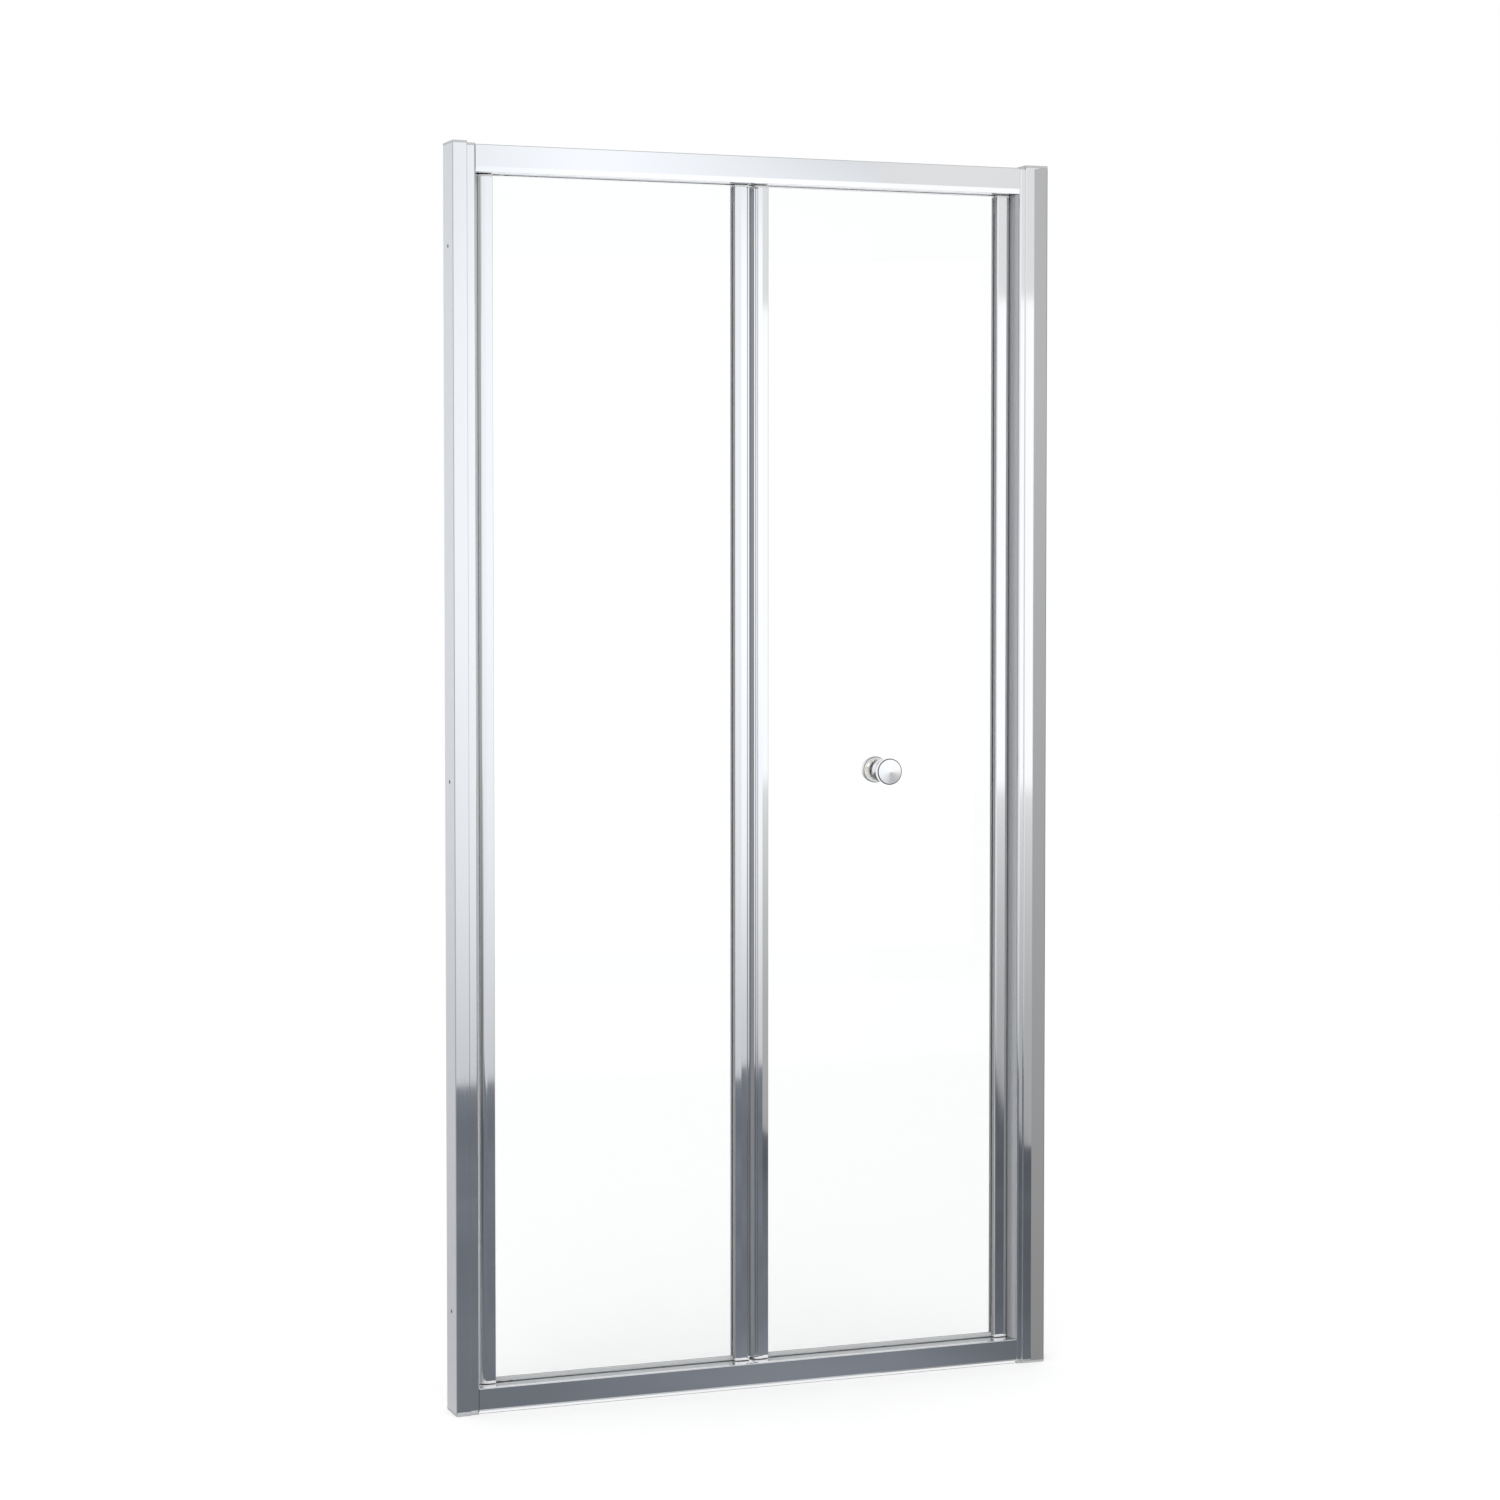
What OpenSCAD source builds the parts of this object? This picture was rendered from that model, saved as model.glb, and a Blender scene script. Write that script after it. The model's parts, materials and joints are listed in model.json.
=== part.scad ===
// Framed bifold shower door: two glass leaves that fold into the shower on a pivot,
// a centre hinge and two guide rollers, between a pair of wall profiles.
// Millimetres. +X runs along the opening, -Y faces the bathroom, +Z is up.
// The origin is on the shower tray, at the middle of the opening.

/* [Opening] */
// Width over both wall profiles
door_w = 945; // [760:1:1200]
// Height from the tray to the top of the wall profiles
door_h = 1850; // [1500:1:2100]

/* [Wall profiles] */
// Face width of the wall profile beside the pivot
pivot_wall_w = 22; // [20:0.5:40]
// Face width of the wall profile on the closing side
strike_wall_w = 37; // [24:0.5:48]
// Depth of the wall profiles
wall_profile_depth = 52; // [51:0.5:60]
// Distance from the middle of the frame's depth back to the plane of the closed leaves
leaf_setback = 9; // [8:0.1:9.5]
// Wall thickness of the wall profiles
wall_profile_t = 2; // [1.5:0.1:2.5]
// Corner radius on the outside of the profiles
profile_corner_r = 1.2; // [0.5:0.1:1.4]
// Thickness of the end caps on the wall profiles and the jambs
cap_t = 3.5; // [2:0.1:5]
// Number of wall fixing holes in each wall profile
wall_hole_count = 3; // [2:1:5]
// Distance of the end fixing holes from the ends of the door
wall_hole_end = 150; // [80:5:250]
// Diameter of the wall fixing holes
wall_hole_d = 5.5; // [4.5:0.1:7]

/* [Jamb profiles] */
// Width of the pivot jamb that stands out of its wall profile
pivot_jamb_show = 13.2; // [10:0.1:20]
// Width of the strike jamb that stands out of its wall profile
strike_jamb_show = 9; // [8:0.1:20]
// Length of jamb that runs inside the wall profile
jamb_reach = 14; // [10:0.5:15]
// Wall thickness of the jamb profiles
jamb_t = 1.8; // [1.4:0.1:2.4]
// Corner radius of the jambs beside the opening
jamb_corner_r = 3; // [1:0.1:3.2]
// Sliding clearance of a jamb in its wall profile, each side
jamb_fit = 0.2; // [0.1:0.05:0.4]
// How far the jamb caps stay below the top of the door
jamb_drop = 2.7; // [1:0.1:6]
// Width of the slot that holds the jamb seals
seal_slot_w = 4; // [3:0.1:5]
// Number of screws that lock each jamb in its wall profile
lock_screw_count = 3; // [2:1:5]
// Distance of the end lock screws from the ends of the door
lock_screw_end = 200; // [150:5:300]

/* [Rails] */
// Front to back depth of the top and bottom rails
rail_depth = 46; // [44:0.5:50]
// Height of the bottom rail
bottom_rail_h = 38; // [34:0.5:46]
// Height of the top rail
top_rail_h = 40; // [34:0.5:50]
// How far the top rail stays below the top of the door
rail_drop = 4; // [2:0.5:8]
// Wall thickness of the rails
rail_t = 1.8; // [1.5:0.1:2.2]
// Bevel along the foot of the bottom rail
rail_bevel = 4.5; // [3:0.1:6]
// Bevel along the other edges of the rails
rail_lip_bevel = 1; // [0.5:0.1:2]
// Height of the slanted strip along the lower edge of the top rail's front
rail_facet_h = 8; // [5:0.5:11]
// Fall of that strip away from the front
rail_facet_drop = 1; // [0.5:0.1:1.5]
// Width of the guide groove
groove_w = 16; // [15:0.1:18]
// Depth of the guide groove
groove_depth = 24; // [22:0.5:26]

/* [Leaves] */
// Gap between the leaves and the rails
leaf_gap = 1; // [0.8:0.1:4]
// Gap between the pivot stile and the pivot jamb
pivot_gap = 7.8; // [5:0.1:10]
// Gap between the two leaves at the centre hinge
centre_gap = 7.5; // [6:0.1:12]
// Space between the closing stile and the strike jamb
strike_gap = 7.8; // [6:0.1:12]
// Front to back depth of the stiles
stile_depth = 24; // [23:0.5:26]
// Wall thickness of the stiles
stile_t = 1.8; // [1.4:0.1:2.1]
// Width of the round fronted pivot stile
pivot_stile_w = 23.2; // [22.5:0.1:30]
// Width of the hinge stile on the pivot leaf
hinge_stile_1_w = 23.6; // [21:0.1:30]
// Width of the hinge stile on the closing leaf
hinge_stile_2_w = 21.9; // [21:0.1:30]
// Width of the closing stile
closing_stile_w = 20.3; // [19:0.1:28]
// Width of the slanted face beside the glass on the hinge stiles
facet_w = 9.6; // [5:0.1:10]
// Fall of that slanted face towards the glass
facet_drop = 1.2; // [0.5:0.1:2]
// Thickness of the glass
glass_t = 5; // [4:0.5:6]
// Depth of glass held in a stile
glass_grip = 7; // [5:0.5:8]
// Gap between the ends of the glass and the ends of the stiles
glass_end_gap = 1; // [0.6:0.1:2]
// Thickness of the glazing gasket beside the glass
gasket_t = 1.5; // [1:0.1:2]
// Width of the gasket lip that shows beside a stile
gasket_lip = 0.8; // [0.3:0.1:2]
// Depth of the gasket flange that covers the side of a stile, before and behind the glass
gasket_flange = 7; // [4:0.1:7.2]

/* [Pivot, hinge and guide] */
// Diameter of the pivot pins
pivot_pin_d = 8; // [6:0.5:10]
// Diameter of the beads of the hinge link, which turn in the sockets of the stiles
hinge_bead_d = 4.4; // [3.8:0.1:4.8]
// Distance of a hinge axis from the front and from the edge of its stile
hinge_inset = 4.2; // [4:0.1:5]
// Thickness of the web between the beads
hinge_web_t = 1.6; // [1.2:0.1:2]
// Diameter of the guide pins
guide_pin_d = 6; // [5:0.5:7]
// Distance of the guide pins from the closing edge
guide_inset = 8; // [7:0.1:10]
// Diameter of the guide rollers
roller_d = 14.5; // [13:0.1:14.6]
// Height of the guide rollers
roller_h = 8; // [6:0.5:10]
// Length of the pivot blocks in the rail grooves
pivot_block_l = 60; // [50:1:75]
// Height of the blocks in the stile ends
end_block_h = 28; // [26:1:45]
// Thickness of the caps that the blocks form on the ends of the stiles
end_cap_t = 3; // [2:0.1:4]
// Length of a pin inside its end block
pin_grip = 22; // [15:0.5:24]
// Radial running clearance of a pin in its bore
pin_fit = 0.05; // [0.02:0.01:0.1]

/* [Knobs] */
// Diameter of the knobs
knob_d = 40; // [34:1:50]
// Length of a knob, from its washer to its face
knob_l = 31.3; // [28:0.1:45]
// Length of the head of a knob
knob_head_l = 11; // [8:0.5:13]
// Height of the shallow cone on the face of a knob
knob_crown = 1.4; // [0.5:0.1:2.5]
// Diameter at the waist of a knob
knob_neck_d = 22; // [18:0.5:24]
// Diameter of the foot of a knob
knob_foot_d = 29; // [27:0.5:32]
// Diameter of the stud that joins the knobs
knob_stud_d = 6; // [5:0.5:8]
// Distance of the knobs from the closing stile
knob_from_closing = 186.8; // [120:0.1:260]
// Height of the knobs above the tray
knob_z = 925; // [700:5:1200]
// Diameter of the hole in the glass
glass_hole_d = 12; // [11:0.5:16]

/* [Hidden] */
$fn = 48;

// Colours
chrome = "#e4e7ea";
clear_glass = [0.86, 0.95, 0.94, 0.35];
clear_plastic = [0.9, 0.93, 0.94, 0.6];
seal_grey = "#9c9fa3";
nylon = "#3b3d40";
steel = "#b9bdc1";
cap_white = "#dfe2e5";
magnet_black = "#2a2a2c";

// Small clearances and cutting allowances
part_fit = 0.1;      // between a block and the profile that holds it
press_fit = 0.02;    // round a pin that stays fixed in its hole
run_gap = 0.3;       // between two pieces that pass each other
cut = 1;             // how far a cutter reaches past a face

// Edges along the opening, from the pivot side to the closing side
pivot_jamb_x = -door_w / 2 + pivot_wall_w + pivot_jamb_show;
strike_jamb_x = door_w / 2 - strike_wall_w - strike_jamb_show;
stile_r = stile_depth / 2;
pivot_x = pivot_jamb_x + pivot_gap + stile_r;
closing_edge_x = strike_jamb_x - strike_gap;
guide_x = closing_edge_x - guide_inset;
hinge_pitch = centre_gap + 2 * hinge_inset;
leaf_arm = (guide_x - pivot_x - hinge_pitch) / 2;   // pivot to hinge, and hinge to guide
hinge_axis_1_x = pivot_x + leaf_arm;
hinge_axis_2_x = hinge_axis_1_x + hinge_pitch;
hinge_axis_y = hinge_inset - stile_r;
leaf_1_end_x = hinge_axis_1_x + hinge_inset;
leaf_2_start_x = hinge_axis_2_x - hinge_inset;
pivot_edge_x = pivot_x - stile_r;
centre_x = (leaf_1_end_x + leaf_2_start_x) / 2;

// Glass edges that show beside the stiles
leaf_1_glass_x = [pivot_edge_x + pivot_stile_w, leaf_1_end_x - hinge_stile_1_w];
leaf_2_glass_x = [leaf_2_start_x + hinge_stile_2_w, closing_edge_x - closing_stile_w];
knob_x = leaf_2_glass_x[1] - knob_from_closing;

// Depths, from the plane of the closed leaves at y = 0
frame_y = -leaf_setback;                            // middle of the wall profiles, jambs and rails
rail_front_y = frame_y - rail_depth / 2;

// Heights
head_z = door_h - rail_drop - top_rail_h;           // underside of the top rail
mid_z = (bottom_rail_h + head_z) / 2;               // the leaves are alike above and below it
leaf_z = bottom_rail_h + leaf_gap;
leaf_h = head_z - leaf_gap - leaf_z;
jamb_h = door_h - jamb_drop - 2 * cap_t;
groove_floor_z = bottom_rail_h - groove_depth;

// Sections
channel_inside = wall_profile_depth - 2 * wall_profile_t;
jamb_depth = channel_inside - 2 * jamb_fit;
slot_w = glass_t + 2 * gasket_t;
gasket_base_t = 1.2;
lip_l = glass_grip + gasket_base_t;
closing_corner_r = 2;
glass_cover = 1;           // glass that stays in a stile beside its end blocks

// Screws and ports
rail_screw_r = 2;
rail_screw_l = 25;
port_r = rail_screw_r + part_fit;
port_wall = 1.9;
port_in = rail_t / 2 + port_r + port_wall;         // from one side of a wall to the port behind it
lock_screw_r = 2;
lock_screw_l = 12;
pan_head_r = 3.6;
pan_head_t = 2.2;
block_screw_r = 1.5;
block_screw_l = 6.5;
flat_head_r = 2.8;
flat_head_t = 1.4;
pivot_screw_r = 2;
pivot_screw_head_r = 4;
pivot_screw_head_t = 2.2;
pivot_screw_end = 12;      // from the free end of the pivot block
pivot_screw_l = groove_depth + rail_t + 3;
cover_cap_r = 6.5;
cover_cap_h = 4;
cover_cap_t = 1;

// Seals and magnets
seal_end_gap = 0.5;
tongue_t = 1.5;
tongue_side = 2;
strike_seal_w = strike_gap - 1.4;
strike_seal_front = 1.8;   // from the front of the rails to the nose of the strike seal
strike_seal_back_y = 9;
magnet_t = 3;
magnet_w = 8;
magnet_skin = 1.2;
wiper_front = 8;           // reach of the pivot seal before and behind the plane of the leaf
wiper_back = 6;
wiper_wrap = 1.5;          // how far its front part follows the round of the stile
bottom_seal_wall = 1;
bottom_seal_up = 5;
bottom_seal_fin = 1;

// Pivot, hinge and guide
pivot_depth = 18;          // of a pin below the mouth of the groove
washer_r = 8;
hinge_web_clear = hinge_web_t / 2 + 0.2;           // room beside the axis for the web to turn
hinge_washer_t = 1;
gap_seal_w = centre_gap - 1.5;
gap_seal_recess = 0.3;
roller_drop = 3;           // top of the roller below the mouth of the groove
roller_play = 0.2;
roller_bevel = 0.8;
clip_t = 0.8;
clip_out_r = guide_pin_d / 2 + 2.2;
clip_cut = 0.5;            // depth of the clip's groove in the pin
clip_mouth = 3;
guide_pin_tail = 1.5;
guide_shoulder_r = guide_pin_d / 2 + 1.6;
guide_stop_gap = 1.2;
guide_stop_low = 2;

// Knobs
knob_washer_t = 1.2;
knob_washer_r = knob_foot_d / 2 + 0.5;
knob_foot_t = 2.5;
knob_edge = 1.2;
stud_grip = 13;

// ---- helpers ----

// Rectangle with true round corners
module round_rect(x0, y0, x1, y1, r) {
    translate([x0 + r, y0]) square([x1 - x0 - 2 * r, y1 - y0]);
    translate([x0, y0 + r]) square([x1 - x0, y1 - y0 - 2 * r]);
    for (x = [x0 + r, x1 - r], y = [y0 + r, y1 - r]) translate([x, y]) circle(r = r);
}

// Local frame of a wall profile: x = 0 on the wall, +x towards the opening,
// y = 0 in the middle of the frame's depth
module on_wall(side) {
    translate([side * door_w / 2, frame_y, 0]) mirror([side > 0 ? 1 : 0, 0, 0]) children();
}

// Local frame of a jamb's inner face: x = 0 on the face, y = 0 in the plane of the leaves
module on_jamb(side) {
    on_wall(side) translate([wall_w(side) + jamb_show(side), leaf_setback, 0]) children();
}

// Local frame of a stile: x = 0 at its outer edge, +x towards the glass
module on_edge(x, dir) {
    translate([x, 0, 0]) mirror([dir < 0 ? 1 : 0, 0, 0]) children();
}

// The same piece at the head of the door
module at_head() {
    translate([0, 0, 2 * mid_z]) mirror([0, 0, 1]) children();
}

module both_ends() {
    children();
    at_head() children();
}

// A section drawn in Y and Z, run along X
module along_x(x0, x1) {
    translate([x0, 0, 0]) rotate([90, 0, 90]) linear_extrude(x1 - x0) children();
}

// Places from the bottom to the top of the door
function heights(count, end) =
    [for (i = [0 : count - 1]) end + i * (door_h - 2 * end) / (count - 1)];

// Axes of the screw ports in the ends of the rails, as y and z
function ports(h) = [[rail_front_y + port_in, h / 2], [-groove_w / 2 - port_in, h / 2]];
bottom_ports = ports(bottom_rail_h);
top_ports = [for (p = ports(top_rail_h)) [p[0], door_h - rail_drop - p[1]]];

function wall_w(side) = side < 0 ? pivot_wall_w : strike_wall_w;
function jamb_show(side) = side < 0 ? pivot_jamb_show : strike_jamb_show;

// Driver recess in a screw head whose top is at z
module screw_cross(r, z) {
    slot = 0.8;
    for (a = [0, 90]) rotate(a) translate([-r, -slot / 2, z - slot]) cube([2 * r, slot, slot + cut]);
}

// Pan head screw: its seat is at z = 0 and its shank points down
module pan_screw(r, l) {
    translate([0, 0, -l]) cylinder(r = r, h = l);
    difference() {
        cylinder(r = pan_head_r, h = pan_head_t);
        screw_cross(r, pan_head_t);
    }
}

// Countersunk screw: its head is flush with z = 0 and its shank points down
module flat_screw(r, l, head_r, head_t) {
    difference() {
        union() {
            translate([0, 0, -l]) cylinder(r = r, h = l);
            translate([0, 0, -head_t]) cylinder(r1 = r, r2 = head_r, h = head_t);
        }
        screw_cross(r, 0);
    }
}

module flat_hole(r, l, head_r, head_t) {
    translate([0, 0, -l - part_fit]) cylinder(r = r + part_fit / 2, h = l + cut);
    translate([0, 0, -head_t])
        cylinder(r1 = r + part_fit / 2, r2 = head_r + part_fit / 2, h = head_t);
    cylinder(r = head_r + part_fit / 2, h = cut);
}

// ---- wall profiles and jambs ----

module wall_profile(side) {
    w = wall_w(side);
    color(chrome) on_wall(side) difference() {
        translate([0, 0, cap_t]) linear_extrude(door_h - 2 * cap_t) difference() {
            round_rect(0, -wall_profile_depth / 2, w, wall_profile_depth / 2, profile_corner_r);
            translate([wall_profile_t, -channel_inside / 2]) square([w, channel_inside]);
        }
        for (z = heights(wall_hole_count, wall_hole_end))
            translate([-cut, 0, z]) rotate([0, 90, 0])
                cylinder(d = wall_hole_d, h = wall_profile_t + 2 * cut);
        for (z = heights(lock_screw_count, lock_screw_end))
            translate([w - jamb_reach / 2, channel_inside / 2 - cut, z]) rotate([-90, 0, 0])
                cylinder(r = lock_screw_r + part_fit, h = wall_profile_t + 2 * cut);
    }
}

module wall_profile_left() wall_profile(-1);
module wall_profile_right() wall_profile(1);

// A plate over the whole section, with a plug in the part that the jamb leaves free
module wall_cap(w) {
    plug_h = 8;
    linear_extrude(cap_t)
        round_rect(0, -wall_profile_depth / 2, w, wall_profile_depth / 2, profile_corner_r);
    translate([wall_profile_t + part_fit, -channel_inside / 2 + part_fit, cap_t])
        cube([w - wall_profile_t - jamb_reach - 3 * part_fit, channel_inside - 2 * part_fit, plug_h]);
}

module wall_profile_caps() {
    color(cap_white) for (side = [-1, 1]) on_wall(side) {
        wall_cap(wall_w(side));
        translate([0, 0, door_h]) mirror([0, 0, 1]) wall_cap(wall_w(side));
    }
}

// Outline of a jamb, square towards the wall and round beside the opening
module jamb_outline(w) {
    round_rect(0, -jamb_depth / 2, w, jamb_depth / 2, jamb_corner_r);
    translate([0, -jamb_depth / 2]) square([jamb_corner_r, jamb_depth]);
}

module jamb_profile(side) {
    w = jamb_reach + jamb_show(side);
    face = wall_w(side) + jamb_show(side);
    color(chrome) on_wall(side) difference() {
        translate([face - w, 0, cap_t]) linear_extrude(jamb_h) difference() {
            jamb_outline(w);
            translate([-cut, -jamb_depth / 2 + jamb_t])
                square([w - jamb_t + cut, jamb_depth - 2 * jamb_t]);
        }
        translate([face - jamb_t - cut, leaf_setback - seal_slot_w / 2, bottom_rail_h])
            cube([jamb_t + 2 * cut, seal_slot_w, head_z - bottom_rail_h]);
        for (p = concat(bottom_ports, top_ports))
            translate([face - jamb_t - cut, p[0] - frame_y, p[1]]) rotate([0, 90, 0])
                cylinder(r = port_r, h = jamb_t + 2 * cut);
        for (z = heights(lock_screw_count, lock_screw_end))
            translate([wall_w(side) - jamb_reach / 2, jamb_depth / 2 - jamb_t - cut, z])
                rotate([-90, 0, 0]) cylinder(r = lock_screw_r + part_fit / 2, h = jamb_t + 2 * cut);
    }
}

module jamb_profile_left() jamb_profile(-1);
module jamb_profile_right() jamb_profile(1);

// A plate over the part of the jamb that shows, with a plug inside the section
module jamb_cap(side) {
    plug_h = 8;
    w = jamb_show(side);
    plug_depth = jamb_depth - 2 * jamb_t - 2 * part_fit;
    translate([wall_w(side), 0, 0]) {
        linear_extrude(cap_t) jamb_outline(w);
        translate([0, -plug_depth / 2, cap_t])
            cube([w - jamb_t - part_fit, plug_depth, plug_h]);
    }
}

module jamb_caps() {
    color(cap_white) for (side = [-1, 1]) on_wall(side) {
        jamb_cap(side);
        translate([0, 0, door_h - jamb_drop]) mirror([0, 0, 1]) jamb_cap(side);
    }
}

module at_lock_screws() {
    for (side = [-1, 1]) on_wall(side) for (z = heights(lock_screw_count, lock_screw_end))
        translate([wall_w(side) - jamb_reach / 2, wall_profile_depth / 2, z])
            rotate([-90, 0, 0]) children();
}

module jamb_lock_screws() color(steel) at_lock_screws() pan_screw(lock_screw_r, lock_screw_l);

module screw_cover_caps() {
    color(cap_white) at_lock_screws() difference() {
        cylinder(r = cover_cap_r, h = cover_cap_h);
        translate([0, 0, -cut])
            cylinder(r = cover_cap_r - cover_cap_t, h = cover_cap_h - cover_cap_t + cut);
    }
}

// ---- rails ----

// Outline of a rail, shrunk by t: x runs from front to back, and the groove opens at y = h
module rail_outline(h, bevel, front_lip, t) {
    half_depth = rail_depth / 2 - t;
    mitre = t * (2 - sqrt(2));
    foot = max(bevel - mitre, 0.01);
    lip = max(rail_lip_bevel - mitre, 0.01);
    translate([frame_y, 0]) polygon([
        [foot - half_depth, t], [half_depth - foot, t], [half_depth, t + foot],
        [half_depth, h - t - lip], [half_depth - lip, h - t],
        [front_lip[0] - half_depth, h - t], [-half_depth, h - max(front_lip[1], t + lip)],
        [-half_depth, t + foot]
    ]);
}

// bevel is at the closed side; front_lip is the fall and the height of the slant beside the groove
module rail_section(h, bevel, front_lip) {
    difference() {
        union() {
            difference() {
                rail_outline(h, bevel, front_lip, 0);
                difference() {
                    rail_outline(h, bevel, front_lip, rail_t);
                    translate([-groove_w / 2 - rail_t, h - groove_depth - rail_t])
                        square([groove_w + 2 * rail_t, groove_depth + rail_t]);
                }
            }
            for (p = ports(h)) translate(p) circle(r = port_r + port_wall);
        }
        translate([-groove_w / 2, h - groove_depth]) square([groove_w, groove_depth + cut]);
        for (p = ports(h)) translate(p) circle(r = port_r);
    }
}

module at_pivot_screw() {
    translate([pivot_jamb_x + pivot_block_l - pivot_screw_end, 0, bottom_rail_h]) children();
}

module rail(h, bevel, front_lip) {
    difference() {
        translate([0, 0, bottom_rail_h - h]) along_x(pivot_jamb_x, strike_jamb_x)
            rail_section(h, bevel, front_lip);
        at_pivot_screw() translate([0, 0, -groove_depth - rail_t - cut])
            cylinder(r = pivot_screw_r + part_fit / 2, h = rail_t + 2 * cut);
    }
}

module bottom_rail() {
    color(chrome) rail(bottom_rail_h, rail_bevel, [rail_lip_bevel, rail_lip_bevel]);
}

module top_rail() {
    color(chrome) at_head() rail(top_rail_h, rail_lip_bevel, [rail_facet_drop, rail_facet_h]);
}

module rail_screws(places) {
    color(steel) for (side = [-1, 1], p = places) on_jamb(side)
        translate([-jamb_t, p[0], p[1]]) rotate([0, -90, 0]) pan_screw(rail_screw_r, rail_screw_l);
}

module bottom_rail_screws() rail_screws(bottom_ports);
module top_rail_screws() rail_screws(top_ports);

module pivot_block() {
    block_w = groove_w - 2 * part_fit;
    color(nylon) difference() {
        translate([pivot_jamb_x, -block_w / 2, groove_floor_z])
            cube([pivot_block_l, block_w, groove_depth]);
        translate([pivot_x, 0, groove_floor_z - cut])
            cylinder(d = pivot_pin_d + 2 * pin_fit, h = groove_depth + 2 * cut);
        at_pivot_screw()
            flat_hole(pivot_screw_r, groove_depth, pivot_screw_head_r, pivot_screw_head_t);
    }
}

module bottom_pivot_block() pivot_block();
module top_pivot_block() at_head() pivot_block();

module pivot_block_screws() {
    color(steel) both_ends() at_pivot_screw()
        flat_screw(pivot_screw_r, pivot_screw_l, pivot_screw_head_r, pivot_screw_head_t);
}

module pivot_washers() {
    color(nylon) both_ends() translate([pivot_x, 0, bottom_rail_h]) difference() {
        cylinder(r = washer_r, h = leaf_gap - run_gap);
        translate([0, 0, -cut]) cylinder(d = pivot_pin_d + 2 * part_fit, h = leaf_gap + 2 * cut);
    }
}

module guide_stops() {
    stop_x = guide_x + roller_d / 2 + guide_stop_gap;
    stop_w = groove_w - 2 * part_fit;
    color(nylon) both_ends() translate([stop_x, -stop_w / 2, groove_floor_z])
        cube([strike_jamb_x - stop_x, stop_w, groove_depth - guide_stop_low]);
}

// ---- jamb seals ----

// T shaped tongue that holds a seal in the slot of a jamb, from the jamb face at x = 0
module seal_tongue() {
    neck = seal_slot_w / 2 - part_fit;
    translate([-jamb_t, -neck]) square([jamb_t, 2 * neck]);
    translate([-jamb_t - tongue_t, -neck - tongue_side]) square([tongue_t, 2 * (neck + tongue_side)]);
}

module seal_length() {
    translate([0, 0, bottom_rail_h + seal_end_gap])
        linear_extrude(head_z - bottom_rail_h - 2 * seal_end_gap) children();
}

module pivot_jamb_seal() {
    seal_t = pivot_gap - run_gap;
    color(seal_grey) on_jamb(-1) seal_length() {
        seal_tongue();
        square([seal_t, wiper_back]);
        difference() {
            translate([0, -wiper_front]) square([seal_t + wiper_wrap, wiper_front]);
            translate([pivot_gap + stile_r, 0]) circle(r = stile_r + run_gap);
        }
    }
}

// Round nosed seal with a pocket along it for the magnet
module strike_seal() {
    nose_y = rail_front_y + strike_seal_front + strike_seal_w;
    pocket = magnet_w / 2 + part_fit;
    color(seal_grey) on_jamb(1) seal_length() {
        seal_tongue();
        difference() {
            union() {
                translate([0, nose_y]) square([strike_seal_w, strike_seal_back_y - nose_y]);
                intersection() {
                    translate([0, nose_y]) circle(r = strike_seal_w);
                    translate([0, nose_y - strike_seal_w]) square(strike_seal_w);
                }
            }
            translate([strike_seal_w - magnet_skin - magnet_t - part_fit, -pocket])
                square([magnet_t + 2 * part_fit, 2 * pocket]);
        }
    }
}

module strike_magnet() {
    color(magnet_black) on_jamb(1) seal_length()
        translate([strike_seal_w - magnet_skin - magnet_t, -magnet_w / 2]) square([magnet_t, magnet_w]);
}

// ---- stiles ----

// Outlines of the three kinds of stile, shrunk by t; x = 0 at the outer edge
module pivot_shape(t) {
    intersection() {
        translate([stile_r, 0]) circle(r = stile_r - t);
        translate([0, -stile_r]) square([stile_r, stile_depth]);
    }
    translate([stile_r, t - stile_r]) square([pivot_stile_w - stile_r - t, stile_depth - 2 * t]);
}

module hinge_shape(w, t) {
    translate([hinge_inset, hinge_axis_y]) circle(r = hinge_inset - t);
    polygon([
        [hinge_inset, t - stile_r], [w - facet_w, t - stile_r], [w - t, t - stile_r + facet_drop],
        [w - t, stile_r - t], [t, stile_r - t], [t, hinge_axis_y], [hinge_inset, hinge_axis_y]
    ]);
}

// Corner that is open to the web of the hinge link, grown by t
module hinge_notch(t) {
    room = hinge_inset + hinge_web_clear + t;
    translate([-cut, -stile_r - cut]) square(room + cut);
}

module closing_shape(t) {
    round_rect(t, t - stile_r, closing_stile_w - t, stile_r - t, max(closing_corner_r - t, 0.2));
}

module stile_shape(kind, t) {
    if (kind == "pivot") pivot_shape(t);
    if (kind == "hinge 1") hinge_shape(hinge_stile_1_w, t);
    if (kind == "hinge 2") hinge_shape(hinge_stile_2_w, t);
    if (kind == "closing") closing_shape(t);
}

function has_hinge(kind) = kind == "hinge 1" || kind == "hinge 2";

// Hollow inside a stile, shrunk by fit; a hinge stile keeps the wall of its socket
module stile_hollow(kind, fit) {
    difference() {
        stile_shape(kind, stile_t + fit);
        glass_ribs(stile_w(kind), fit);
        if (has_hinge(kind)) {
            hinge_notch(stile_t + fit);
            translate([hinge_inset, hinge_axis_y]) circle(r = hinge_inset + fit);
        }
    }
}

function stile_w(kind) =
    kind == "pivot" ? pivot_stile_w :
    kind == "hinge 1" ? hinge_stile_1_w :
    kind == "hinge 2" ? hinge_stile_2_w : closing_stile_w;

// Where the pin of an end block stands, from the outer edge of its stile
function pin_in(kind) = kind == "pivot" ? stile_r : kind == "closing" ? guide_inset : stile_w(kind) / 2;

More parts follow.
